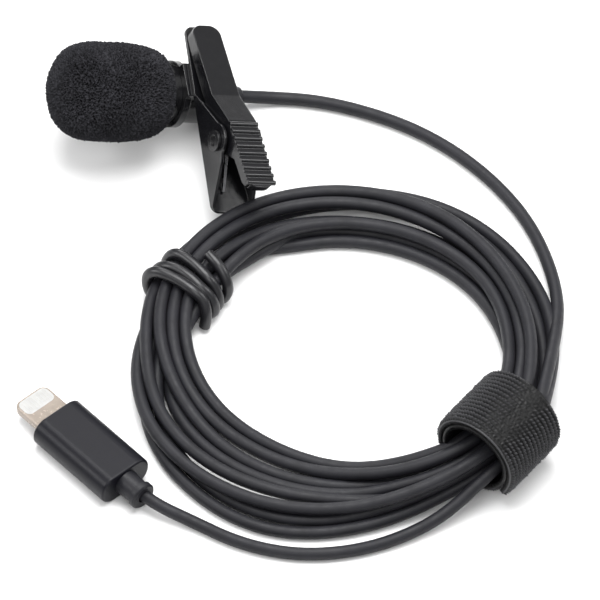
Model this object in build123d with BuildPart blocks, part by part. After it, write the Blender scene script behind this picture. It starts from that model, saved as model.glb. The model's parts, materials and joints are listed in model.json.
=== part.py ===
from build123d import *
from math import cos, pi, radians, sin, tan
import os

# Clip-on lavalier microphone with its coiled lead and phone plug.
# Millimetres, +Z up. The origin is on the table, under the middle of the microphone and its clip.

# ---------------------------------------------------------------- driving dimensions
# The microphone and clip are drawn in their own frame: X runs along the microphone towards its lead,
# Y along the clip towards the jaw tips, Z towards the lever. Its origin is on the microphone's axis.
mic_centre = (4.53, 9.01, 6.263)
mic_roll = 20.7
mic_dip = 23.6
mic_turn = 19.2
mic_stance = Location(mic_centre, (mic_roll, mic_dip, mic_turn), Extrinsic.XYZ)

running_gap = 0.05
sheet = 0.5

barrel_radius = 4.65
barrel_wall = 0.45
barrel_front = -19.3
barrel_rear = 6.4
rear_shoulder = 5.0
rear_radius = 3.7
rear_wall = 0.8

foam_front = -25.2
foam_rear = -5.0
foam_radius = 8.0
foam_bore_end = -20.3

capsule_radius = 3.0
capsule_front = -18.7
capsule_rear = -15.7

cord_radius = 1.05
cord_inner_end = 3.6
relief_tip = 9.4

ring_width = 1.2
ring_left = -3.95
ring_radius = 5.5
ring_mouth = 112
saddle_top = 5.9
saddle_half_width = 2.9
saddle_right = 3.0

plate_bottom = saddle_top + running_gap
plate_top = plate_bottom + sheet
jaw_tip = 9.2
tail_end = -23.8
tip_half_width = 2.6
tail_half_width = 3.9
pivot_y = -13.0
pivot_z = plate_top + 4.4
pin_radius = 0.8
ear_radius = 2.9

lever_half_width = 2.6
lever_ear_radius = 2.3
rib_count = 9
rib_radius = 0.42

# The plug is drawn along its own X, from the front of its housing towards the lead.
plug_front = (-16.97, -57.48, 2.72)
plug_heading = -48.3
plug_stance = Location(plug_front, (0, 0, plug_heading))
housing_length = 17.1
housing_width = 10.0
housing_height = 5.4
tongue_length = 6.7
tongue_width = 6.7
tongue_height = 1.5
zone_middle = -4.75
zone_length = 3.1
zone_width = 5.9
pad_pitch = 0.66
stub_end = 21.5
plug_cord_exit = 22.5
plug_cord_end = 14.7

# The coil lies flat; its turns run round an oval and fan out towards the front.
coil_height = 5.2
coil_outer_centre = (29.0, -45.2)
coil_outer_radii = (33.6, 36.0)
coil_inner_centre = (30.1, -44.5)
coil_inner_radii = (25.1, 22.8)

# Routes of the lead where it isn't coiled, from the microphone and to the plug.
mic_side_route = [
    (25.2, 12.2, 1.1),
    (33.9, 9.5, 1.1),
    (41.6, 5.8, 1.1),
    (48.6, 0.6, 1.1),
    (54.7, -5.9, 1.1),
    (59.5, -13.2, 1.1),
    (62.8, -21.5, 1.1),
    (64.6, -30.2, 1.1),
    (64.6, -39.9, 1.3),
    (62.0, -48.9, 3.0),
]
plug_side_route = [
    (51.8, -71.3, 4.4),
    (45.6, -77.1, 1.9),
    (37.7, -81.4, 1.1),
    (29.6, -83.9, 1.1),
    (20.9, -84.2, 1.1),
    (12.4, -81.7, 1.1),
    (5.1, -77.2, 1.1),
]

os.makedirs("parts", exist_ok=True)


def save(piece, node_name):
    """Label one finished piece and write it to its own file."""
    piece.label = node_name
    export_step(piece, f"parts/{node_name}.step")


def save_on_mic(piece, node_name):
    """Write a piece of the microphone or its clip, standing as it lies on the table."""
    save(piece.moved(mic_stance), node_name)


def save_on_plug(piece, node_name):
    """Write a piece of the plug, standing as it lies on the table."""
    save(piece.moved(plug_stance), node_name)


# ---------------------------------------------------------------- microphone body
with BuildPart() as mic_barrel:
    with BuildSketch(Plane.XY):
        with BuildLine():
            Polyline(
                (barrel_front, barrel_radius - barrel_wall),
                (barrel_front, barrel_radius),
                (rear_shoulder, barrel_radius),
                (barrel_rear, rear_radius),
                (barrel_rear, 1.6),
                (barrel_rear - rear_wall, 1.6),
                (barrel_rear - rear_wall, rear_radius - barrel_wall),
                (rear_shoulder - 0.4, barrel_radius - barrel_wall),
                close=True,
            )
        make_face()
    revolve(axis=Axis.X)
save_on_mic(mic_barrel.part, "mic_barrel")

with BuildPart() as front_grille:
    with BuildSketch(Plane.YZ.offset(barrel_front - 0.7)):
        Circle(barrel_radius)
    extrude(amount=0.7)
    with BuildSketch(Plane.YZ.offset(barrel_front)):
        Circle(barrel_radius - barrel_wall)
        Circle(barrel_radius - 2 * barrel_wall, mode=Mode.SUBTRACT)
    extrude(amount=0.35)
    with BuildSketch(Plane.YZ.offset(barrel_front - 0.7)):
        Circle(0.35)
        with PolarLocations(1.5, 6):
            Circle(0.35)
        with PolarLocations(3.0, 12):
            Circle(0.35)
    extrude(amount=0.7, mode=Mode.SUBTRACT)
    fillet(front_grille.faces().sort_by(Axis.X)[0].outer_wire().edges(), 0.4)
save_on_mic(front_grille.part, "front_grille")

with BuildPart() as dust_mesh:
    with BuildSketch(Plane.YZ.offset(barrel_front)):
        Circle(barrel_radius - 2 * barrel_wall)
    extrude(amount=0.3)
save_on_mic(dust_mesh.part, "dust_mesh")

with BuildPart() as capsule_can:
    with BuildSketch(Plane.YZ.offset(capsule_front)):
        Circle(capsule_radius)
    extrude(amount=capsule_rear - capsule_front)
    with BuildSketch(Plane.YZ.offset(capsule_front + 0.25)):
        Circle(capsule_radius - 0.25)
    extrude(amount=capsule_rear - capsule_front, mode=Mode.SUBTRACT)
    with BuildSketch(Plane.YZ.offset(capsule_front)):
        Circle(0.8)
    extrude(amount=0.25, mode=Mode.SUBTRACT)
save_on_mic(capsule_can.part, "capsule_can")

with BuildPart() as capsule_membrane:
    with BuildSketch(Plane.YZ.offset(capsule_front + 0.3)):
        Circle(capsule_radius - 0.25)
    extrude(amount=0.5)
    with BuildSketch(Plane.YZ.offset(capsule_front + 0.4)):
        Circle(capsule_radius - 0.8)
    extrude(amount=0.4, mode=Mode.SUBTRACT)
save_on_mic(capsule_membrane.part, "capsule_membrane")

with BuildPart() as capsule_back_plate:
    with BuildSketch(Plane.YZ.offset(capsule_front + 0.8)):
        Circle(capsule_radius - 0.25)
    extrude(amount=1.2)
    with BuildSketch(Plane.YZ.offset(capsule_front + 0.8)):
        with PolarLocations(1.3, 4):
            Circle(0.3)
    extrude(amount=1.2, mode=Mode.SUBTRACT)
save_on_mic(capsule_back_plate.part, "capsule_back_plate")

with BuildPart() as capsule_board:
    with BuildSketch(Plane.YZ.offset(capsule_front + 2.2)):
        Circle(capsule_radius - 0.25)
    extrude(amount=0.7)
    with BuildSketch(Plane.YZ.offset(capsule_front + 2.9)):
        with Locations((1.2, 0), (-1.2, 0)):
            Circle(0.55)
    extrude(amount=0.3)
save_on_mic(capsule_board.part, "capsule_board")

with BuildPart() as capsule_sleeve:
    with BuildSketch(Plane.YZ.offset(capsule_front)):
        Circle(barrel_radius - barrel_wall)
        Circle(capsule_radius, mode=Mode.SUBTRACT)
    extrude(amount=4.0)
save_on_mic(capsule_sleeve.part, "capsule_sleeve")

# Two insulated conductors run from the capsule's solder pads to the end of the lead.
with BuildPart() as lead_wires:
    with BuildSketch(Plane.YZ.offset(capsule_front + 3.2)):
        with Locations((0.5, 0), (-0.5, 0)):
            Circle(0.28)
    extrude(amount=cord_inner_end - capsule_front - 3.2)
save_on_mic(lead_wires.part, "lead_wires")

with BuildPart() as cord_crimp:
    with BuildSketch(Plane.YZ.offset(cord_inner_end)):
        Circle(2.0)
        Circle(cord_radius, mode=Mode.SUBTRACT)
    extrude(amount=1.1)
    chamfer(cord_crimp.edges().filter_by(GeomType.CIRCLE).sort_by(SortBy.RADIUS)[-2:], 0.2)
save_on_mic(cord_crimp.part, "cord_crimp")

with BuildPart() as mic_strain_relief:
    with BuildSketch(Plane.XY):
        with BuildLine():
            Polyline(
                (cord_inner_end + 1.1, cord_radius),
                (cord_inner_end + 1.1, 2.4),
                (barrel_rear - rear_wall, 2.4),
                (barrel_rear - rear_wall, 1.6),
                (barrel_rear, 1.6),
                (barrel_rear, 2.1),
                (barrel_rear + 0.9, 2.0),
                (relief_tip - 0.3, 1.55),
                (relief_tip, 1.3),
                (relief_tip, cord_radius),
                close=True,
            )
        make_face()
    revolve(axis=Axis.X)
save_on_mic(mic_strain_relief.part, "mic_strain_relief")

# ---------------------------------------------------------------- foam windscreen
with BuildPart() as foam_windscreen:
    with BuildSketch(Plane.XY):
        with BuildLine():
            Line((foam_front, 0), (foam_front, 1.6))
            ThreePointArc((foam_front, 1.6), (foam_front + 1.75, 5.6), (foam_front + 5.8, 7.7))
            ThreePointArc(
                (foam_front + 5.8, 7.7),
                (foam_front + 10.4, foam_radius),
                (foam_rear - 5.4, 7.75),
            )
            ThreePointArc((foam_rear - 5.4, 7.75), (foam_rear - 1.5, 6.9), (foam_rear, 5.0))
            Line((foam_rear, 5.0), (foam_rear, 0))
            Line((foam_rear, 0), (foam_front, 0))
        make_face()
    revolve(axis=Axis.X)
    with BuildSketch(Plane.YZ.offset(foam_bore_end)):
        Circle(barrel_radius + running_gap)
    extrude(amount=foam_rear - foam_bore_end, mode=Mode.SUBTRACT)
save_on_mic(foam_windscreen.part, "foam_windscreen")

# ---------------------------------------------------------------- ring that carries the microphone
with BuildPart() as ring_holder:
    with BuildSketch(Plane.YZ.offset(ring_left)) as ring_outline:
        Circle(ring_radius)
        with Locations((0, saddle_top - 1.0)):
            Rectangle(2 * saddle_half_width, 2.0)
        Circle(barrel_radius + running_gap, mode=Mode.SUBTRACT)
        with BuildLine():
            mouth_edge = 2 * ring_radius
            mouth_y = mouth_edge * sin(radians(ring_mouth / 2))
            mouth_z = -mouth_edge * cos(radians(ring_mouth / 2))
            Polyline((0, 0), (mouth_y, mouth_z), (-mouth_y, mouth_z), close=True)
        make_face(mode=Mode.SUBTRACT)
    extrude(amount=ring_width)
    with BuildSketch(Plane.YZ.offset(ring_left)):
        with Locations((0, saddle_top - 1.0)):
            Rectangle(2 * saddle_half_width, 2.0)
        Circle(barrel_radius + running_gap, mode=Mode.SUBTRACT)
    extrude(amount=saddle_right - ring_left)
    with Locations((0, 0, saddle_top)):
        Hole(0.9, depth=0.8)
save_on_mic(ring_holder.part, "ring_holder")

with BuildPart() as holder_rivet:
    with BuildSketch(Plane.XY.offset(saddle_top - 0.8)):
        Circle(0.9)
    extrude(amount=plate_top + running_gap - saddle_top + 0.8)
    with BuildSketch(Plane.XY.offset(plate_top + running_gap)):
        Circle(1.7)
    extrude(amount=0.5)
    fillet(holder_rivet.edges().group_by(Axis.Z)[-1], 0.25)
save_on_mic(holder_rivet.part, "holder_rivet")

# ---------------------------------------------------------------- clip base: plate with two hinge ears
plate_outline = [
    (-tip_half_width, jaw_tip),
    (tip_half_width, jaw_tip),
    (tail_half_width, tail_end),
    (-tail_half_width, tail_end),
]
with BuildPart() as clip_base:
    with BuildSketch(Plane.XY.offset(plate_bottom)) as plate_plan:
        with BuildLine():
            Polyline(*plate_outline, close=True)
        make_face()
        fillet(plate_plan.vertices(), 1.3)
    extrude(amount=9)
    with BuildSketch(Plane.YZ) as side_outline:
        with BuildLine():
            Polyline(
                (jaw_tip, plate_bottom),
                (jaw_tip, plate_top),
                (-2.8, plate_top),
                (pivot_y + 2.5, pivot_z + 1.4),
                (pivot_y - 2.6, pivot_z + 1.2),
                (pivot_y - 4.0, plate_top + 5.0),
                (tail_end + 0.6, plate_top),
                (tail_end, plate_top),
                (tail_end, plate_bottom),
                close=True,
            )
        make_face()
        with Locations((pivot_y, pivot_z)):
            Circle(ear_radius)
    extrude(amount=2 * tail_half_width, both=True, mode=Mode.INTERSECT)
    with BuildSketch(Plane.XY.offset(plate_top)):
        with BuildLine():
            Polyline(
                (-tip_half_width + sheet, jaw_tip),
                (tip_half_width - sheet, jaw_tip),
                (tail_half_width - sheet, tail_end),
                (-tail_half_width + sheet, tail_end),
                close=True,
            )
        make_face()
    extrude(amount=9, mode=Mode.SUBTRACT)
    with Locations((0, 0, plate_top)):
        Hole(0.9 + running_gap)
    with Locations(Location((0, pivot_y, pivot_z), (0, 90, 0))):
        Hole(pin_radius)
save_on_mic(clip_base.part, "clip_base")

# A tubular pin is spread over both ears.
with BuildPart() as hinge_pin:
    pin_half_length = 3.57
    with BuildSketch(Plane.YZ.offset(-pin_half_length)):
        with Locations((pivot_y, pivot_z)):
            Circle(pin_radius)
    extrude(amount=2 * pin_half_length)
    for side in (-1, 1):
        with BuildSketch(Plane.YZ.offset(side * pin_half_length)):
            with Locations((pivot_y, pivot_z)):
                Circle(1.75)
        extrude(amount=side * 0.45)
        with BuildSketch(Plane.YZ.offset(side * (pin_half_length + 0.45))):
            with Locations((pivot_y, pivot_z)):
                Circle(0.9)
        extrude(amount=-side * 0.3, mode=Mode.SUBTRACT)
save_on_mic(hinge_pin.part, "hinge_pin")

# ---------------------------------------------------------------- clip lever: bent channel with ribs
lever_top = [
    (jaw_tip - 0.5, plate_top + 1.9),
    (-4.8, plate_top + 4.4),
    (-10.8, plate_top + 7.9),
    (-23.6, plate_top + 10.2),
]
pad_slope = 10.0
with BuildPart() as clip_lever:
    with BuildSketch(Plane.XY.offset(plate_top)):
        lever_length = lever_top[0][0] - lever_top[-1][0]
        with Locations((0, (lever_top[0][0] + lever_top[-1][0]) / 2)):
            RectangleRounded(2 * lever_half_width, lever_length, 1.9)
    extrude(amount=12)
    with BuildSketch(Plane.YZ) as lever_side:
        with BuildLine():
            Polyline(
                *lever_top,
                (-23.6, plate_top + 8.7),
                (-17.6, plate_top + 7.4),
                (pivot_y - 2.2, pivot_z),
                (pivot_y + 2.0, pivot_z - 1.1),
                (-5.8, plate_top + 2.0),
                (5.2, plate_top + 0.35),
                (jaw_tip - 0.5, plate_top + running_gap),
                close=True,
            )
        make_face()
        with Locations((pivot_y, pivot_z)):
            Circle(lever_ear_radius)
    extrude(amount=2 * lever_half_width, both=True, mode=Mode.INTERSECT)
    with BuildSketch(Plane.YZ):
        with BuildLine():
            Polyline(
                (lever_top[0][0] - sheet, plate_top - 1),
                (lever_top[0][0] - sheet, lever_top[0][1] - sheet),
                (lever_top[1][0], lever_top[1][1] - sheet),
                (lever_top[2][0], lever_top[2][1] - sheet),
                (lever_top[3][0] + sheet, lever_top[3][1] - sheet),
                (lever_top[3][0] + sheet, plate_top - 1),
                close=True,
            )
        make_face()
    extrude(amount=lever_half_width - sheet, both=True, mode=Mode.SUBTRACT)
    with Locations(Location((0, pivot_y, pivot_z), (0, 90, 0))):
        Hole(pin_radius + running_gap)
    # Round ribs lie across the thumb pad.
    with BuildSketch(Plane.YZ.offset(-lever_half_width)):
        for step in range(rib_count):
            along = 0.75 + step * 1.42
            rib_y = lever_top[2][0] - along * cos(radians(pad_slope))
            rib_z = lever_top[2][1] + along * sin(radians(pad_slope))
            with Locations((rib_y, rib_z)):
                Circle(rib_radius)
    extrude(amount=2 * lever_half_width)
save_on_mic(clip_lever.part, "clip_lever")

# ---------------------------------------------------------------- torsion spring round the pin
with BuildPart() as clip_spring:
    with BuildSketch(Plane.YZ.offset(-1.6)):
        with Locations((pivot_y, pivot_z)):
            Circle(1.6)
            Circle(pin_radius + 0.2, mode=Mode.SUBTRACT)
    extrude(amount=3.2)
    with BuildSketch(Plane.YZ.offset(-1.6)):
        with BuildLine():
            Polyline(
                (pivot_y - 1.2, pivot_z - 0.8),
                (pivot_y - 7.0, plate_top + 0.1),
                (pivot_y - 7.4, plate_top + 0.5),
                (pivot_y - 1.0, pivot_z - 0.2),
                close=True,
            )
        make_face()
    extrude(amount=0.5)
    with BuildSketch(Plane.YZ.offset(1.1)):
        with BuildLine():
            Polyline(
                (pivot_y - 0.9, pivot_z + 0.9),
                (pivot_y - 5.8, plate_top + 8.4),
                (pivot_y - 6.1, plate_top + 8.0),
                (pivot_y - 1.3, pivot_z + 0.3),
                close=True,
            )
        make_face()
    extrude(amount=0.5)
save_on_mic(clip_spring.part, "clip_spring")

# ---------------------------------------------------------------- plug
with BuildPart() as plug_housing:
    with BuildSketch(Plane.YZ):
        RectangleRounded(housing_width, housing_height, 2.5)
    extrude(amount=housing_length)
    fillet(plug_housing.edges().group_by(Axis.X)[0] + plug_housing.edges().group_by(Axis.X)[-1], 0.35)
    with BuildSketch(Plane.YZ.offset(1.2)):
        RectangleRounded(housing_width - 1.8, housing_height - 1.6, 1.7)
    extrude(amount=housing_length - 2.4, mode=Mode.SUBTRACT)
    with BuildSketch(Plane.YZ):
        RectangleRounded(tongue_width, tongue_height, 0.3)
    extrude(amount=1.2, mode=Mode.SUBTRACT)
    with BuildSketch(Plane.YZ.offset(housing_length - 1.2)):
        Circle(1.7)
    extrude(amount=1.2, mode=Mode.SUBTRACT)
save_on_plug(plug_housing.part, "plug_housing")

with BuildPart() as plug_tongue:
    with BuildSketch(Plane.XY.offset(-tongue_height / 2)):
        with Locations((-tongue_length / 2 + 1.0, 0)):
            RectangleRounded(tongue_length + 2.0, tongue_width, 1.4)
    extrude(amount=tongue_height)
    fillet(plug_tongue.faces().group_by(Axis.Z)[0].edges() + plug_tongue.faces().group_by(Axis.Z)[-1].edges(), 0.3)
    for side in (-1, 1):
        with BuildSketch(Plane.XY.offset(side * tongue_height / 2)):
            with Locations((zone_middle, 0)):
                RectangleRounded(zone_length, zone_width, 1.0)
        extrude(amount=-side * 0.35, mode=Mode.SUBTRACT)
save_on_plug(plug_tongue.part, "plug_tongue")

with BuildPart() as contact_inserts:
    for side in (-1, 1):
        with BuildSketch(Plane.XY.offset(side * tongue_height / 2)):
            with Locations((zone_middle, 0)):
                RectangleRounded(zone_length, zone_width, 1.0)
                with GridLocations(0, pad_pitch, 1, 8):
                    Rectangle(2.4, 0.36, mode=Mode.SUBTRACT)
        extrude(amount=-side * 0.35)
save_on_plug(contact_inserts.part, "contact_inserts")

with BuildPart() as contact_pads:
    for side in (-1, 1):
        with BuildSketch(Plane.XY.offset(side * tongue_height / 2)):
            with Locations((zone_middle, 0)):
                with GridLocations(0, pad_pitch, 1, 8):
                    Rectangle(2.4, 0.36)
        extrude(amount=-side * 0.35)
save_on_plug(contact_pads.part, "contact_pads")

with BuildPart() as plug_board:
    with BuildSketch(Plane.XY.offset(-0.4)):
        with Locations((7.2, 0)):
            Rectangle(10.4, 6.4)
    extrude(amount=0.8)
save_on_plug(plug_board.part, "plug_board")

with BuildPart() as plug_chip:
    with BuildSketch(Plane.XY.offset(0.4)):
        with Locations((6.0, 0)):
            Rectangle(3.0, 3.0)
    extrude(amount=0.75)
    chamfer(plug_chip.edges().group_by(Axis.Z)[-1], 0.1)
save_on_plug(plug_chip.part, "plug_chip")

with BuildPart() as plug_strain_relief:
    with BuildSketch(Plane.XY):
        with BuildLine():
            Polyline(
                (housing_length - 2.4, cord_radius),
                (housing_length - 2.4, 1.85),
                (housing_length - 1.2, 1.85),
                (housing_length - 1.2, 1.7),
                (housing_length, 1.7),
                (housing_length, 2.2),
                (stub_end - 1.2, 2.05),
                (stub_end - 1.1, 2.35),
                (stub_end - 0.25, 2.35),
                (stub_end, 2.1),
                (stub_end, cord_radius),
                close=True,
            )
        make_face()
    revolve(axis=Axis.X)
save_on_plug(plug_strain_relief.part, "plug_strain_relief")

# ---------------------------------------------------------------- strap and tie round the coil
strap_centre = (54.95, -64.45, 8.0)
strap_heading = 52.5
strap_width = 13.0
strap_outer_radius = 8.0
strap_inner_radius = 5.5
strap_plane = Plane(Location(strap_centre, (0, 0, strap_heading)) * Location((0, 0, 0), (0, 90, 0)))
with BuildPart() as hook_loop_strap:
    with BuildSketch(strap_plane):
        Circle(strap_outer_radius)
        Circle(strap_inner_radius, mode=Mode.SUBTRACT)
    extrude(amount=strap_width / 2, both=True)
save(hook_loop_strap.part, "hook_loop_strap")

tie_wire = 1.6
tie_height = 7.6
tie_width = 13.0
tie_centre = (4.2, -28.6, tie_height / 2)
tie_heading = 60
with BuildPart() as twist_tie:
    for step in (-1, 0, 1):
        loop_place = Location(tie_centre, (0, 0, tie_heading)) * Location((step * 1.5, 0, 0), (0, 90, 0))
        with BuildSketch(Plane(loop_place)):
            RectangleRounded(tie_height, tie_width, 2.8)
            RectangleRounded(tie_height - 2 * tie_wire, tie_width - 2 * tie_wire, 1.4, mode=Mode.SUBTRACT)
        extrude(amount=tie_wire / 2, both=True)
save(twist_tie.part, "twist_tie")

# ---------------------------------------------------------------- lead
def cord_radii(route):
    """Give each corner of a route the largest arc that its shorter run allows."""
    points = [Vector(*spot) for spot in route]
    radii = []
    for before, corner, after in zip(points, points[1:], points[2:]):
        turn = (corner - before).get_angle(after - corner)
        shorter = min((corner - before).length, (after - corner).length)
        radii.append(0.45 * shorter / tan(radians(turn / 2)))
    return radii


def cord_tube(route, node_name):
    """Sweep the lead's section along straight runs joined by tangent arcs."""
    radii = cord_radii(route)
    with BuildPart() as tube:
        with BuildLine():
            path = FilletPolyline(*route, radius=radii)
        with BuildSketch(Plane(path @ 0, z_dir=path % 0)):
            Circle(cord_radius)
        sweep(path=path)
    section_volume = pi * cord_radius**2 * path.length
    print(node_name, "radii", [round(radius, 1) for radius in radii])
    print(node_name, "volume", round(tube.part.volume, 2), "of", round(section_volume, 2))
    save(tube.part, node_name)


lead_touchdown = 12.9
mic_end = mic_stance * Location((cord_inner_end, 0, 0))
mic_exit = mic_stance * Location((lead_touchdown, 0, 0))
cord_tube([tuple(mic_end.position), tuple(mic_exit.position)] + mic_side_route, "cord_mic_side")

plug_end = plug_stance * Location((plug_cord_end, 0, 0))
plug_exit = plug_stance * Location((plug_cord_exit, 0, 0))
cord_tube(
    plug_side_route + [tuple(plug_exit.position), tuple(plug_end.position)],
    "cord_plug_side",
)

# The coil's turns gather into a round bundle that climbs through the strap.
bundle_radius = 4.0
bundle_route = [
    (27.0, -74.6, 4.3),
    (35.5, -74.0, 4.3),
    (43.0, -72.0, 5.4),
    (49.8, -68.3, 7.7),
    (58.1, -58.5, 7.7),
    (58.7, -51.2, 5.4),
    (59.0, -43.6, 4.3),
]
with BuildPart() as coil_bundle:
    with BuildLine():
        bundle_path = FilletPolyline(*bundle_route, radius=cord_radii(bundle_route))
    with BuildSketch(Plane(bundle_path @ 0, z_dir=bundle_path % 0)):
        Circle(bundle_radius)
    sweep(path=bundle_path)

tail_rest = Location((11.85, -15.35, 0), (0, 0, 20))
strap_gap = Location(strap_centre, (0, 0, strap_heading)) * Location((-4.75, 0, 0))
with BuildPart() as cord_coil:
    with BuildSketch(Plane.XY) as coil_plan:
        with Locations(coil_outer_centre):
            Ellipse(*coil_outer_radii)
        with Locations(coil_inner_centre):
            Ellipse(*coil_inner_radii, mode=Mode.SUBTRACT)
        with Locations(strap_gap):
            Rectangle(28.5, 40, mode=Mode.SUBTRACT)
        with Locations(tail_rest):
            Rectangle(60, 20, align=(Align.CENTER, Align.MIN), mode=Mode.SUBTRACT)
    extrude(amount=coil_height)
    add(coil_bundle.part)
    add(twist_tie.part, mode=Mode.SUBTRACT)
save(cord_coil.part, "cord_coil")
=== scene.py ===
import json
from math import cos, pi, radians, sin, tau

import bpy
import numpy as np
from mathutils import Matrix, Vector, noise


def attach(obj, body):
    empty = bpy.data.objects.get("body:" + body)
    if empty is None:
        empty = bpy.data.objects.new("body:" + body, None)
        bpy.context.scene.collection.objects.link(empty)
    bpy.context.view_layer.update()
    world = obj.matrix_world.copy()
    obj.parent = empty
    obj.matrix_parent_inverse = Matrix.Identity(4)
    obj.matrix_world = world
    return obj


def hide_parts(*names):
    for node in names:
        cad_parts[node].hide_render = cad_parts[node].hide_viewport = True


# Looks of the clip-on microphone. Metres, in the CAD model's frame.

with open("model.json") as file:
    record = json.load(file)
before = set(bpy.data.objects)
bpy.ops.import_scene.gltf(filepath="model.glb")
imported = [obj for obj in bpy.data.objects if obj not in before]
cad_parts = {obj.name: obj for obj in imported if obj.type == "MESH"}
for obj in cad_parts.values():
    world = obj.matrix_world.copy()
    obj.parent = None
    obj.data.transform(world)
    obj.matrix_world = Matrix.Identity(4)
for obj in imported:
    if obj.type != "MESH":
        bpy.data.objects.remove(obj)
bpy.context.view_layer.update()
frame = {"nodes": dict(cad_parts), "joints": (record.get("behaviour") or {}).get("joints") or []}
nodes = frame["nodes"]
scene = bpy.context.scene

# ---------------------------------------------------------------- places read from the frame
joints = {joint["name"]: joint for joint in frame["joints"]}
lead_way = -Vector(joints["windscreen_slide"]["axis"])
lever_way = Vector(joints["clip_swivel"]["axis"])
jaw_way = lever_way.cross(lead_way)
# How far the swivel's centre stands from the microphone's axis.
swivel_height = 0.0062
mic_centre = Vector(joints["clip_swivel"]["pos_m"]) - swivel_height * lever_way
mic_turn = Matrix((lead_way, jaw_way, lever_way)).transposed().to_4x4()
mic_stance = Matrix.Translation(mic_centre) @ mic_turn

# ---------------------------------------------------------------- camera, floor and light
view_middle = Vector((0.02258, -0.02963, 0))
view_tilt = radians(50)
view_distance = 4.0
view_width = 0.0977
view_reach = 50
camera_data = bpy.data.cameras.new("camera")
camera_data.sensor_width = 36
camera_data.lens = camera_data.sensor_width * view_distance / view_width
camera_data.clip_end = view_reach
camera = bpy.data.objects.new("camera", camera_data)
camera.location = view_middle + view_distance * Vector((0, -cos(view_tilt), sin(view_tilt)))
camera.rotation_euler = (pi / 2 - view_tilt, 0, 0)
scene.collection.objects.link(camera)
scene.camera = camera
scene.view_settings.view_transform = "Standard"


def add_area_light(name, place, size, power):
    """A square soft light that points at the middle of the object."""
    data = bpy.data.lights.new(name, "AREA")
    data.size = size
    data.energy = power
    light = bpy.data.objects.new(name, data)
    light.location = place
    way = view_middle - light.location
    light.rotation_euler = way.to_track_quat("-Z", "Y").to_euler()
    scene.collection.objects.link(light)


add_area_light("key_light", Vector((0.04, 0.1, 0.78)), 0.6, 8.8)
add_area_light("back_light", Vector((-0.1, 0.75, 0.35)), 0.3, 2.0)
add_area_light("left_light", Vector((-0.6, -0.05, 0.4)), 0.3, 1.8)
add_area_light("right_light", Vector((0.65, 0.05, 0.45)), 0.3, 1.8)
add_area_light("front_light", Vector((0.0, -0.7, 0.8)), 0.6, 3.2)

world = bpy.data.worlds.new("studio")
world.use_nodes = True
background = world.node_tree.nodes["Background"]
background.inputs["Color"].default_value = (1, 1, 1, 1)
background.inputs["Strength"].default_value = 0.5
scene.world = world

bpy.ops.mesh.primitive_plane_add(size=6)
floor = bpy.context.object
floor.name = "floor"


# ---------------------------------------------------------------- materials
def new_material(name, color, roughness, metallic=0.0, specular=0.5):
    """A principled material with its constant values on the shader's own sockets."""
    made = bpy.data.materials.new(name)
    made.use_nodes = True
    shader = made.node_tree.nodes["Principled BSDF"]
    shader.inputs["Base Color"].default_value = (*color, 1)
    shader.inputs["Roughness"].default_value = roughness
    shader.inputs["Metallic"].default_value = metallic
    shader.inputs["Specular IOR Level"].default_value = specular
    return made


def position_noise(made, grain, detail=3.0):
    """Noise in the object's own metres, whose grain is the size of one blotch."""
    tree = made.node_tree
    place = tree.nodes.new("ShaderNodeTexCoord")
    texture = tree.nodes.new("ShaderNodeTexNoise")
    texture.inputs["Scale"].default_value = 1 / grain
    texture.inputs["Detail"].default_value = detail
    tree.links.new(place.outputs["Object"], texture.inputs["Vector"])
    return texture


def mottle(made, grain, dark, light):
    """Colour wanders between two shades."""
    tree = made.node_tree
    texture = position_noise(made, grain)
    ramp = tree.nodes.new("ShaderNodeValToRGB")
    ramp.color_ramp.elements[0].position = 0.35
    ramp.color_ramp.elements[0].color = (*dark, 1)
    ramp.color_ramp.elements[1].position = 0.65
    ramp.color_ramp.elements[1].color = (*light, 1)
    tree.links.new(texture.outputs["Fac"], ramp.inputs["Fac"])
    tree.links.new(ramp.outputs["Color"], tree.nodes["Principled BSDF"].inputs["Base Color"])


def vary_roughness(made, grain, low, high):
    """Roughness wanders between two values."""
    tree = made.node_tree
    texture = position_noise(made, grain)
    spread = tree.nodes.new("ShaderNodeMapRange")
    spread.inputs["From Min"].default_value = 0.3
    spread.inputs["From Max"].default_value = 0.7
    spread.inputs["To Min"].default_value = low
    spread.inputs["To Max"].default_value = high
    tree.links.new(texture.outputs["Fac"], spread.inputs["Value"])
    tree.links.new(spread.outputs["Result"], tree.nodes["Principled BSDF"].inputs["Roughness"])


def add_bump(made, grain, height, edge=None):
    """Fine relief, over rounded edges where an edge radius is given."""
    tree = made.node_tree
    texture = position_noise(made, grain, detail=2.0)
    bump = tree.nodes.new("ShaderNodeBump")
    bump.inputs["Strength"].default_value = 1.0
    bump.inputs["Distance"].default_value = height
    tree.links.new(texture.outputs["Fac"], bump.inputs["Height"])
    if edge:
        rounding = tree.nodes.new("ShaderNodeBevel")
        rounding.samples = 8
        rounding.inputs["Radius"].default_value = edge
        tree.links.new(rounding.outputs["Normal"], bump.inputs["Normal"])
    tree.links.new(bump.outputs["Normal"], tree.nodes["Principled BSDF"].inputs["Normal"])


def paint_shade_by_relief(made, low, high, dark, light):
    """Painted shade: hollows are darker than the tops, from the height that each mesh point keeps.
    """
    tree = made.node_tree
    kept = tree.nodes.new("ShaderNodeAttribute")
    kept.attribute_name = "relief"
    spread = tree.nodes.new("ShaderNodeMapRange")
    spread.inputs["From Min"].default_value = low
    spread.inputs["From Max"].default_value = high
    ramp = tree.nodes.new("ShaderNodeValToRGB")
    ramp.color_ramp.elements[0].color = (*dark, 1)
    ramp.color_ramp.elements[1].color = (*light, 1)
    tree.links.new(kept.outputs["Fac"], spread.inputs["Value"])
    tree.links.new(spread.outputs["Result"], ramp.inputs["Fac"])
    tree.links.new(ramp.outputs["Color"], tree.nodes["Principled BSDF"].inputs["Base Color"])


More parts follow.
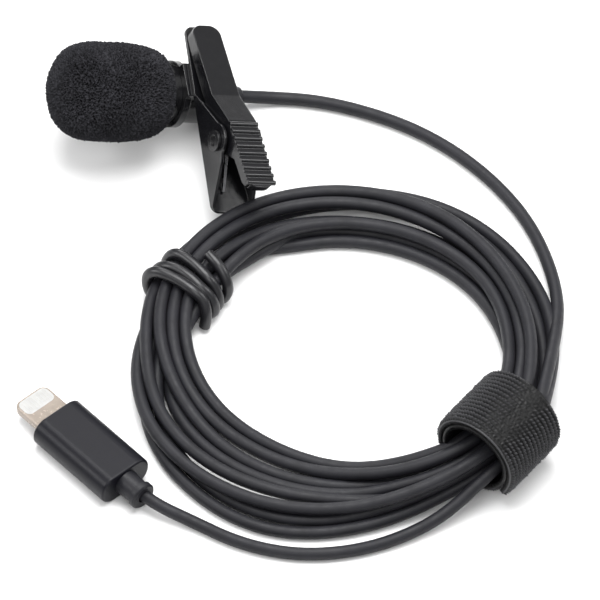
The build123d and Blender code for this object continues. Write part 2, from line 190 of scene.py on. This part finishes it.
def keep_relief(piece, heights):
    """Store each point's height over the plain surface on the mesh."""
    layer = piece.data.attributes.new("relief", "FLOAT", "POINT")
    layer.data.foreach_set("value", heights)


def cord_material():
    """The lead's soft matt jacket."""
    made = new_material("lead_jacket", (0.01, 0.01, 0.013), 0.5, specular=0.28)
    mottle(made, 0.004, (0.0095, 0.0095, 0.012), (0.013, 0.013, 0.0165))
    vary_roughness(made, 0.0012, 0.46, 0.6)
    add_bump(made, 0.00012, 0.000006)
    return made


def foam_material():
    """Open foam, with painted shade darkening its pores."""
    made = new_material("black_foam", (0.012, 0.012, 0.013), 0.9, specular=0.15)
    # Painted shade: the pores get the near-black colour, the cell tops the lighter one.
    paint_shade_by_relief(made, -0.0003, 0.0004, (0.001, 0.001, 0.0013), (0.032, 0.032, 0.037))
    add_bump(made, 0.0002, 0.00006)
    return made


def tape_material():
    """Hook tape, with painted shade darkening it between its rows of hooks."""
    made = new_material("hook_tape", (0.011, 0.011, 0.012), 0.5, specular=0.25)
    # Painted shade: the lower the surface, the darker the colour, so the gaps between hook rows, the
    # bare edges, the matted band and the back are darkest.
    paint_shade_by_relief(made, 0.0001, 0.0006, (0.0008, 0.0008, 0.001), (0.03, 0.03, 0.033))
    vary_roughness(made, 0.0004, 0.35, 0.6)
    add_bump(made, 0.00015, 0.00002)
    return made


def enamel_material():
    """Gloss black paint over bent sheet metal, with rounded edges."""
    made = new_material("clip_enamel", (0.005, 0.005, 0.006), 0.2)
    vary_roughness(made, 0.0012, 0.14, 0.24)
    add_bump(made, 0.0025, 0.000006, edge=0.00022)
    return made


plain_shade = 0.88
plain_relief = 0.000005


def plain_material(name, color, roughness, metallic=0.0, edge=0.00012, grain=0.0003, specular=0.5):
    """An even surface with a little life in its colour, gloss and relief."""
    made = new_material(name, color, roughness, metallic, specular=specular)
    darker = tuple(plain_shade * part for part in color)
    mottle(made, 4 * grain, darker, color)
    vary_roughness(made, 2 * grain, 0.85 * roughness, min(1.0, 1.15 * roughness))
    add_bump(made, grain, plain_relief, edge=edge)
    return made


jacket = cord_material()
foam = foam_material()
enamel = enamel_material()
plug_skin = plain_material(
    "plug_shell", (0.0035, 0.0035, 0.0065), 0.36, edge=0.0002, grain=0.00015, specular=0.22
)
relief_skin = plain_material("relief_rubber", (0.008, 0.008, 0.011), 0.45, specular=0.3)
tongue_metal = plain_material("plug_metal", (0.3, 0.255, 0.215), 0.25, metallic=0.25)
zone_white = plain_material("contact_zone", (0.43, 0.43, 0.425), 0.2)
pad_gold = plain_material("contact_gold", (0.415, 0.412, 0.4), 0.2)
barrel_paint = plain_material("barrel_paint", (0.005, 0.005, 0.006), 0.2, edge=0.00015)
rivet_metal = plain_material("rivet_metal", (0.01, 0.01, 0.011), 0.2)
tie_skin = plain_material("tie_sleeve", (0.009, 0.009, 0.011), 0.33)
tape_skin = tape_material()
spring_metal = plain_material("spring_wire", (0.25, 0.25, 0.26), 0.3, metallic=1.0)
can_metal = plain_material("capsule_metal", (0.7, 0.7, 0.72), 0.3, metallic=1.0)
film = plain_material("membrane_film", (0.8, 0.78, 0.7), 0.25, metallic=0.5)
board = plain_material("circuit_board", (0.03, 0.16, 0.07), 0.4)
chip_resin = plain_material("chip_resin", (0.02, 0.02, 0.02), 0.5)
wire_skin = plain_material("wire_jacket", (0.45, 0.06, 0.05), 0.4)
brass = plain_material("crimp_metal", (0.7, 0.55, 0.3), 0.3, metallic=1.0)
mesh_cloth = plain_material("woven_mesh", (0.04, 0.04, 0.04), 0.6)

node_materials = {
    "mic_barrel": barrel_paint,
    "front_grille": barrel_paint,
    "dust_mesh": mesh_cloth,
    "capsule_can": can_metal,
    "capsule_membrane": film,
    "capsule_back_plate": can_metal,
    "capsule_board": board,
    "capsule_sleeve": relief_skin,
    "lead_wires": wire_skin,
    "cord_crimp": brass,
    "mic_strain_relief": relief_skin,
    "plug_housing": plug_skin,
    "plug_tongue": tongue_metal,
    "contact_inserts": zone_white,
    "contact_pads": pad_gold,
    "plug_board": board,
    "plug_chip": chip_resin,
    "plug_strain_relief": relief_skin,
    "ring_holder": enamel,
    "holder_rivet": rivet_metal,
    "clip_base": enamel,
    "hinge_pin": rivet_metal,
    "clip_spring": spring_metal,
    "clip_lever": enamel,
}
for node_name, made in node_materials.items():
    nodes[node_name].data.materials.clear()
    nodes[node_name].data.materials.append(made)

# ---------------------------------------------------------------- lead
cord_radius = 0.00105
cord_inner_end = 0.0036
lead_touchdown = 0.0129
mic_side_route = [
    (0.0252, 0.0122, 0.0011),
    (0.0339, 0.0095, 0.0011),
    (0.0416, 0.0058, 0.0011),
    (0.0486, 0.0006, 0.0011),
    (0.0547, -0.0059, 0.0011),
    (0.0595, -0.0132, 0.0011),
    (0.0628, -0.0215, 0.0011),
    (0.0646, -0.0302, 0.0013),
    (0.0643, -0.0383, 0.0025),
]
plug_side_route = [
    (0.0456, -0.0771, 0.0019),
    (0.0377, -0.0814, 0.0011),
    (0.0296, -0.0839, 0.0011),
    (0.0209, -0.0842, 0.0011),
    (0.0124, -0.0817, 0.0011),
    (0.0051, -0.0772, 0.0011),
]

# The coil is drawn round its middle. Each turn is a row of distances from the middle, and a row
# of heights, in millimetres, at even steps clockwise from the strap. The rows are the lines that
# the turns would follow if they could pass through each other.
coil_middle = (0.0295, -0.0450)
strap_direction = -37.4
turn_radii = [
    (34.6, 31.2, 33.3, 36.6, 35.3, 34.1, 31.5, 29.9, 28.3, 27.6, 26.9, 26.8, 27.1, 27.0, 28.1),
    (30.7, 26.8, 23.5, 21.8, 22.2, 24.2, 27.2, 30.1, 31.9, 33.8, 33.3, 31.9, 30.8, 29.1, 29.1),
    (31.1, 28.5, 26.7, 26.4, 27.3, 28.5, 29.0, 26.2, 26.8, 29.1, 29.0, 28.8, 28.6, 27.0, 27.1),
    (28.1, 23.6, 21.1, 20.0, 20.0, 21.7, 24.8, 28.1, 29.1, 31.4, 30.5, 30.5, 30.7, 30.8, 30.9),
    (33.3, 31.0, 30.9, 32.3, 33.3, 34.1, 32.6, 32.0, 33.0, 34.3, 35.3, 35.8, 34.3, 33.1, 32.4),
    (33.3, 30.6, 31.4, 33.7, 32.9, 31.5, 29.2, 28.0, 26.3, 28.8, 29.1, 28.9, 29.0, 28.9, 29.0),
    (29.6, 26.9, 25.1, 25.0, 25.1, 26.4, 29.0, 32.0, 34.1, 36.2, 35.8, 33.3, 31.4, 30.6, 30.2),
    (32.2, 29.8, 28.1, 29.1, 30.1, 31.4, 31.7, 33.8, 35.0, 35.9, 37.4, 37.7, 35.9, 34.4, 33.0),
]
turn_heights = [
    (4.8, 2.4, 1.1, 1.1, 1.1, 1.1, 1.1, 2.6, 2.4, 1.1, 1.1, 1.1, 1.1, 1.2, 3.0),
    (8.2, 5.0, 2.4, 1.1, 1.1, 1.5, 3.4, 4.7, 4.6, 3.2, 3.2, 3.2, 3.2, 3.6, 6.0),
    (6.2, 2.6, 1.1, 1.1, 1.1, 1.1, 1.1, 2.6, 4.0, 3.2, 3.2, 3.2, 3.2, 3.6, 5.0),
    (6.8, 3.0, 1.1, 1.1, 1.1, 1.1, 2.6, 4.7, 4.4, 1.4, 1.1, 1.1, 1.1, 1.4, 3.6),
    (8.2, 5.2, 3.2, 3.0, 3.0, 3.0, 2.0, 2.6, 2.4, 1.1, 1.1, 1.1, 1.1, 1.6, 4.0),
    (6.3, 3.6, 1.4, 1.1, 1.1, 1.1, 1.1, 2.6, 2.6, 1.2, 1.1, 1.1, 1.1, 1.2, 3.2),
    (4.9, 2.0, 1.1, 1.1, 1.1, 1.8, 4.6, 4.7, 4.6, 3.2, 3.2, 5.0, 4.8, 5.0, 7.0),
    (4.4, 2.2, 2.0, 2.8, 2.6, 2.4, 2.4, 2.6, 2.4, 1.1, 1.1, 1.1, 1.1, 1.3, 3.4),
]
# Where the lead comes over the coil into the strap, and where it leaves the strap again.
coil_entry = [(33.2, 4.6), (34.0, 4.8)]
coil_leave = [(35.6, 6.4), (35.2, 4.6)]
slices_per_turn = 30
strap_centre = Vector((0.05470, -0.06425, 0.008))
strap_half_width = 0.0065
strap_bore = 0.0055
tie_angle = 175.5
# How far a strand moves up the picture for each millimetre of height, against one of distance.
view_slope = 0.839

# Laying the turns down, in millimetres and degrees: first in long steps, then in calm ones.
settle_steps = 900
calm_after = 700
rough_pull = 0.15
calm_pull = 0.05
depth_share = 0.1
sinking = 0.002
rough_softening = 0.2
calm_softening = 0.05
strand_gap = 2.13
push_share = 0.42
strap_span = 13
loose_angle = 36
loosening = 24
tie_span = 9
table_floor = 1.07
tie_floor = 2.7
strap_play = 0.1


def settle_turns():
    """Lay the turns down: each keeps near its own line and rests on what is under it.

    Strands are pushed apart slice by slice, where they run side by side. Strands that cross at a
    slant, and the stretch that leads onto the coil, are not seen here: they still cut into each
    other.
    """
    radii = []
    heights = []
    for turn_radius, turn_height in zip(turn_radii, turn_heights):
        radii += turn_radius
        heights += turn_height
    radii.append(coil_leave[0][0])
    heights.append(coil_leave[0][1])
    fine = np.arange(0, len(radii) - 1 + 0.25, 0.5)
    coarse = np.arange(len(radii))
    entry_radii, entry_heights = zip(*coil_entry)
    last_radius, last_height = coil_leave[1]
    radius = np.concatenate([entry_radii, np.interp(fine, coarse, radii), [last_radius]])
    height = np.concatenate([entry_heights, np.interp(fine, coarse, heights), [last_height]])
    piece = np.arange(len(radius)) - len(coil_entry)
    angle = piece * 360 / slices_per_turn
    for line in (radius, height):
        line[1:-1] = 0.25 * (line[:-2] + 2 * line[1:-1] + line[2:])
    radius *= 1 / cos(radians(180 / slices_per_turn))
    wanted = radius.copy()
    lift = height.copy()
    group = piece % slices_per_turn
    first, second = np.triu_indices(len(radius), 1)
    same = group[first] == group[second]
    first, second = first[same], second[same]
    turned = (angle + 180) % 360 - 180
    in_strap = np.abs(turned) < strap_span
    from_loose = loose_angle - np.abs(turned)
    near_strap = np.clip(from_loose / loosening, 0, 1)
    in_tie = np.abs((angle % 360) - tie_angle) < tie_span
    strap_across = strap_centre.x - coil_middle[0]
    strap_back = strap_centre.y - coil_middle[1]
    strap_radius = np.hypot(strap_across, strap_back) * 1000
    floor_height = np.where(in_tie, tie_floor, table_floor)
    slope = view_slope * np.sin(np.radians(strap_direction - angle))
    for step in range(settle_steps):
        calm = step > calm_after
        pull = calm_pull if calm else rough_pull
        off_radius = radius - wanted
        off_height = height - lift
        off_view = pull * (off_radius + slope * off_height) / (1 + slope**2)
        off_depth = depth_share * pull * (off_height - slope * off_radius) / (1 + slope**2)
        radius -= off_view - slope * off_depth
        height -= slope * off_view + off_depth
        height -= sinking * (1 - near_strap)
        soften = calm_softening if calm else rough_softening
        for line, aim in ((radius, wanted), (height, lift)):
            off = line - aim
            line[1:-1] += soften * (0.5 * (off[:-2] + off[2:]) - off[1:-1])
        across = radius[second] - radius[first]
        up = height[second] - height[first]
        apart = np.hypot(across, up) + 1e-9
        push = np.clip(strand_gap - apart, 0, None) * push_share
        np.add.at(radius, first, -push * across / apart)
        np.add.at(radius, second, push * across / apart)
        np.add.at(height, first, -push * up / apart)
        np.add.at(height, second, push * up / apart)
        height = np.maximum(height, floor_height)
        out_across = radius - strap_radius
        out_up = height - strap_centre.z * 1000
        out = np.hypot(out_across, out_up) + 1e-9
        room = strap_bore * 1000 - cord_radius * 1000 - strap_play
        over = in_strap & (out > room)
        radius = np.where(over, strap_radius + out_across * room / out, radius)
        height = np.where(over, strap_centre.z * 1000 + out_up * room / out, height)
    return angle, radius, height


def on_coil(angle, radius, height):
    """A point of the coil in metres, from its angle past the strap and its place across the turn."""
    direction = radians(strap_direction - angle)
    x = coil_middle[0] + radius / 1000 * cos(direction)
    y = coil_middle[1] + radius / 1000 * sin(direction)
    return Vector((x, y, height / 1000))


coil_angle, coil_radius, coil_height = settle_turns()
coil_points = [on_coil(*spot) for spot in zip(coil_angle, coil_radius, coil_height)]
plug_exit = Vector((-0.00200, -0.07427, 0.00272))
plug_inside = Vector((-0.00719, -0.06846, 0.00272))
cord_points = [mic_stance @ Vector((along, 0, 0)) for along in (cord_inner_end, lead_touchdown)]
cord_points += [Vector(spot) for spot in mic_side_route]
cord_points += coil_points
cord_points += [Vector(spot) for spot in plug_side_route]
cord_points += [plug_exit, plug_inside]


def nurbs_curve(name, points, radius, resolution=6, sides=6):
    """A round piece along one smooth open spline."""
    data = bpy.data.curves.new(name, "CURVE")
    data.dimensions = "3D"
    data.resolution_u = resolution
    data.bevel_depth = radius
    data.bevel_resolution = sides
    data.use_fill_caps = True
    spline = data.splines.new("NURBS")
    spline.points.add(len(points) - 1)
    for knot, spot in zip(spline.points, points):
        knot.co = (*spot, 1)
    spline.order_u = 3
    spline.use_endpoint_u = True
    piece = bpy.data.objects.new(name, data)
    scene.collection.objects.link(piece)
    return piece


lead = nurbs_curve("lead", cord_points, cord_radius)
lead.data.materials.append(jacket)
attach(lead, "microphone")
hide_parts("cord_mic_side", "cord_coil", "cord_plug_side")


# ---------------------------------------------------------------- mesh helpers
def mesh_piece(name, points, faces, made, body, smooth=True):
    """A mesh piece with one material, riding on one body."""
    data = bpy.data.meshes.new(name)
    data.from_pydata(points, [], faces)
    data.materials.append(made)
    if smooth:
        data.polygons.foreach_set("use_smooth", [True] * len(data.polygons))
    data.update()
    piece = bpy.data.objects.new(name, data)
    scene.collection.objects.link(piece)
    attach(piece, body)
    return piece


def ring_faces(rings, around):
    """Quads between successive rings of the same number of points."""
    faces = []
    for ring in range(rings - 1):
        here = ring * around
        there = (ring + 1) * around
        for spot in range(around):
            after = (spot + 1) % around
            faces.append((here + spot, here + after, there + after, there + spot))
    return faces


# ---------------------------------------------------------------- foam windscreen
foam_front = -0.0249
foam_rear = -0.0060
foam_radius = 0.00795
foam_bore = 0.0047
foam_bore_end = -0.0203
front_dome = 0.0064
rear_dome = 0.0074
cell = 0.00042
front_rows = 64
middle_rows = 60
rear_rows = 50
front_roundness = 0.74
front_fullness = 0.9
rear_roundness = 0.8
lip_step = 0.0004
foam_columns = 340
swell_height = 0.00012
swell_frequency = 220
wall_sharpness = 2.2
wall_height = 0.00042
pore_depth = 0.0002
fibre_height = 0.00034
fibre_grain = 0.0002


def foam_profile():
    """Distance along the axis and radius, from the front pole back to the lip and into the bore."""
    spots = []
    for step in range(1, front_rows + 1):
        turn = 0.5 * pi * step / front_rows
        radius = foam_radius * sin(turn) ** front_roundness
        spots.append((foam_front + front_dome * (1 - cos(turn) ** front_fullness), radius))
    middle_end = foam_rear - rear_dome
    middle_start = foam_front + front_dome
    for step in range(1, middle_rows):
        along = middle_start + (middle_end - middle_start) * step / middle_rows
        spots.append((along, foam_radius))
    for step in range(rear_rows):
        turn = 0.5 * pi * step / (rear_rows - 1)
        swell = (foam_radius - foam_bore - lip_step) * cos(turn) ** rear_roundness
        radius = foam_bore + lip_step + swell
        spots.append((middle_end + rear_dome * sin(turn), radius))
    spots.append((foam_rear, foam_bore))
    spots.append((foam_bore_end, foam_bore))
    return spots


def foam_height(spot):
    """How far the surface stands out or in at one point: swelling, cell walls and loose fibres."""
    swelling = swell_height * noise.noise(spot * swell_frequency)
    distances, _ = noise.voronoi(spot / cell)
    inside = min(1.0, wall_sharpness * (distances[1] - distances[0]))
    pore = wall_height * (1 - inside) - pore_depth
    fuzz = fibre_height * noise.noise(spot / fibre_grain)
    return swelling + pore + fuzz


def make_foam():
    """The foam ball, open at its bore, with its pores and fibres as real relief."""
    points = []
    heights = []
    profile = foam_profile()
    outer_count = len(profile) - 2
    for row, (along, radius) in enumerate(profile):
        for spot in range(foam_columns):
            turn = tau * (spot + 0.5 * (row % 2)) / foam_columns
            flat = Vector((along, radius * cos(turn), radius * sin(turn)))
            lift = 0.0
            if row < outer_count:
                straight = max(foam_front + front_dome, min(foam_rear - rear_dome, along))
                middle = Vector((straight, 0, 0))
                way = (flat - middle).normalized()
                lift = foam_height(flat)
                flat += lift * way
            points.append(mic_stance @ flat)
            heights.append(lift)
    faces = ring_faces(len(profile), foam_columns)
    points.append(mic_stance @ Vector((foam_front, 0, 0)))
    points.append(mic_stance @ Vector((foam_bore_end, 0, 0)))
    heights += [0.0, 0.0]
    last = (len(profile) - 1) * foam_columns
    for spot in range(foam_columns):
        after = (spot + 1) % foam_columns
        faces.append((len(points) - 2, after, spot))
        faces.append((len(points) - 1, last + spot, last + after))
    piece = mesh_piece(
        "foam_cover", points, faces, foam, "windscreen", smooth=False
    )
    keep_relief(piece, heights)
    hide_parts("foam_windscreen")


make_foam()

# ---------------------------------------------------------------- hook-and-loop strap
strap_heading = radians(52.5)
strap_along = Vector((cos(strap_heading), sin(strap_heading), 0))
strap_side = Vector((sin(strap_heading), -cos(strap_heading), 0))
strap_up = Vector((0, 0, 1))
strap_turns = 1.78
strap_end_angle = radians(-42)
inner_layer = 0.00602
layer_step = 0.0009
tape_thickness = 0.0008
row_count = 15
hook_pitch = 0.00062
hook_height = 0.0008
# Where the tape climbs onto its first layer, and where its free end lifts, in turns.
climb_start = 0.76
climb_turns = 0.2
flap_start = 1.69
flap_turns = 0.09
flap_lift = 0.0004
strap_lowest = 0.00005
hooks_start = 0.78
# The band of flattened hooks, in degrees from the top.
worn_middle = -28
worn_width = 30
fewest_hooks = 0.06
matted_height = 0.00016
hook_run = 0.0076
strap_stations = 620
samples_per_row = 6
bare_edge = 0.0005
back_fuzz = 0.00008
# The back's relief value puts it at the dark end of the painted shade.
back_relief = 0.0001


def strap_angle(progress):
    """Angle round the strap, after some turns from the tape's inner end."""
    return strap_end_angle + tau * (strap_turns - progress)


def strap_layer(progress):
    """Radius of the tape's middle, after some turns from its inner end."""
    climb = min(1.0, max(0.0, (progress - climb_start) / climb_turns))
    flap = max(0.0, (progress - flap_start) / flap_turns)
    return inner_layer + layer_step * climb * climb * (3 - 2 * climb) + flap_lift * flap * flap


def strap_point(progress, across, lift):
    """A point of the tape, kept over the table."""
    angle = strap_angle(progress)
    radius = strap_layer(progress) + lift
    outward = cos(angle) * strap_side + sin(angle) * strap_up
    place = strap_centre + strap_along * across + radius * outward
    place.z = max(place.z, strap_lowest)
    return place


def degrees_from_top(progress):
    """Angle from the top of the strap, between -180 and 180."""
    angle = strap_angle(progress) / pi * 180 - 90
    return (angle + 180) % 360 - 180


def worn(progress, across):
    """How much of the hooks is left at one place: a band of them is matted down."""
    band = abs(degrees_from_top(progress) - worn_middle) / worn_width
    patchy = noise.noise(Vector((progress * 40, across * 500, 3.7)))
    return min(1.0, max(fewest_hooks, band * 1.1 - 0.15 + 0.35 * patchy))


def hook_lift(progress, across):
    """Height of the hook rows over the tape."""
    place = (across / (2 * strap_half_width) + 0.5) * row_count
    row = int(place)
    inside = place - row
    ridge = max(0.0, sin(pi * inside)) ** 1.5
    run = progress * tau * hook_run
    hook = 0.5 + 0.5 * cos(tau * (run / hook_pitch + 0.5 * (row % 2)))
    jitter = noise.noise(Vector((run * 1700, row * 1.7, 0.3)))
    left = worn(progress, across)
    matted = matted_height * noise.noise(Vector((run * 2600, across * 2600, 9.1)))
    standing = hook_height * ridge * (0.4 + 0.6 * hook + 0.3 * jitter)
    return left * standing + (1 - left) * matted


def make_strap():
    """The tape as one closed band: rows of hooks outside, plain back inside."""
    samples = row_count * samples_per_row
    points = []
    heights = []
    for station in range(strap_stations + 1):
        progress = strap_turns * station / strap_stations
        for sample in range(samples + 1):
            across = strap_half_width * (2 * sample / samples - 1)
            edge = min(1.0, (strap_half_width - abs(across)) / bare_edge)
            lift = (hook_lift(progress, across) if progress > hooks_start else 0.0) * edge
            points.append(strap_point(progress, across, 0.5 * tape_thickness + lift))
            heights.append(lift)
        for sample in range(samples, -1, -samples_per_row):
            across = strap_half_width * (2 * sample / samples - 1)
            fuzz = back_fuzz * noise.noise(Vector((progress * 90, across * 900, 5.0)))
            points.append(strap_point(progress, across, -0.5 * tape_thickness + fuzz))
            heights.append(back_relief)
    around = samples + 1 + row_count + 1
    faces = ring_faces(strap_stations + 1, around)
    faces.append(tuple(range(around - 1, -1, -1)))
    faces.append(tuple(range(strap_stations * around, (strap_stations + 1) * around)))
    piece = mesh_piece("hook_strap", points, faces, tape_skin, "microphone")
    keep_relief(piece, heights)
    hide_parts("hook_loop_strap")
    return piece


hook_strap = make_strap()
selvedge_start = 0.8
selvedge_steps = 89
selvedge_inset = 0.0001
selvedge_radius = 0.00016
selvedge_points = []
for step in range(selvedge_steps + 1):
    progress = selvedge_start + (strap_turns - selvedge_start) * step / selvedge_steps
    across = -strap_half_width + selvedge_inset
    lift = 0.5 * tape_thickness - selvedge_inset
    selvedge_points.append(strap_point(progress, across, lift))
selvedge = nurbs_curve("strap_selvedge", selvedge_points, selvedge_radius, sides=3)
selvedge.data.materials.append(plain_material("selvedge_thread", (0.03, 0.03, 0.033), 0.5))
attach(selvedge, "microphone")

# ---------------------------------------------------------------- twist tie
tie_radius = 0.00094
tie_route = [
    (0.00706, -0.03599, 0.0009),
    (0.00750, -0.03560, 0.0030),
    (0.00706, -0.03420, 0.0052),
    (0.00526, -0.03320, 0.0066),
    (0.00314, -0.03140, 0.0068),
    (0.00118, -0.03010, 0.0068),
    (-0.00080, -0.02900, 0.0066),
    (-0.00220, -0.02850, 0.0052),
    (-0.00235, -0.02860, 0.0030),
    (-0.00170, -0.02920, 0.0010),
    (0.00100, -0.03060, 0.0009),
    (0.00500, -0.03230, 0.0009),
    (0.00800, -0.03350, 0.0010),
    (0.00890, -0.03380, 0.0026),
    (0.00800, -0.03300, 0.0050),
    (0.00640, -0.03230, 0.0064),
    (0.00477, -0.03060, 0.0069),
    (0.00290, -0.02900, 0.0069),
    (0.00100, -0.02790, 0.0066),
    (-0.00060, -0.02710, 0.0052),
    (-0.00110, -0.02710, 0.0030),
    (-0.00050, -0.02780, 0.0010),
    (0.00200, -0.02930, 0.0009),
    (0.00600, -0.03110, 0.0009),
    (0.00880, -0.03220, 0.0010),
    (0.00950, -0.03220, 0.0026),
    (0.00880, -0.03110, 0.0050),
    (0.00760, -0.03030, 0.0064),
    (0.00559, -0.02800, 0.0069),
    (0.00373, -0.02620, 0.0069),
    (0.00240, -0.02520, 0.0066),
    (0.00120, -0.02470, 0.0052),
    (0.00060, -0.02490, 0.0030),
    (0.00120, -0.02570, 0.0010),
    (0.00400, -0.02720, 0.0009),
    (0.00750, -0.02940, 0.0009),
    (0.00990, -0.03060, 0.0011),
    (0.01090, -0.03010, 0.0026),
    (0.01080, -0.02980, 0.0044),
    (0.01000, -0.02860, 0.0060),
    (0.00890, -0.02730, 0.0069),
    (0.00770, -0.02580, 0.0070),
]
tie = nurbs_curve("tie_wire", [Vector(spot) for spot in tie_route], tie_radius, resolution=8)
tie.data.materials.append(tie_skin)
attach(tie, "microphone")
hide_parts("twist_tie")

# ---------------------------------------------------------------- what the lead carries
plug_pieces = [
    "plug_housing",
    "plug_tongue",
    "contact_inserts",
    "contact_pads",
    "plug_board",
    "plug_chip",
    "plug_strain_relief",
]
on_lead = [nodes[name] for name in plug_pieces]
on_lead += [hook_strap, selvedge, tie]
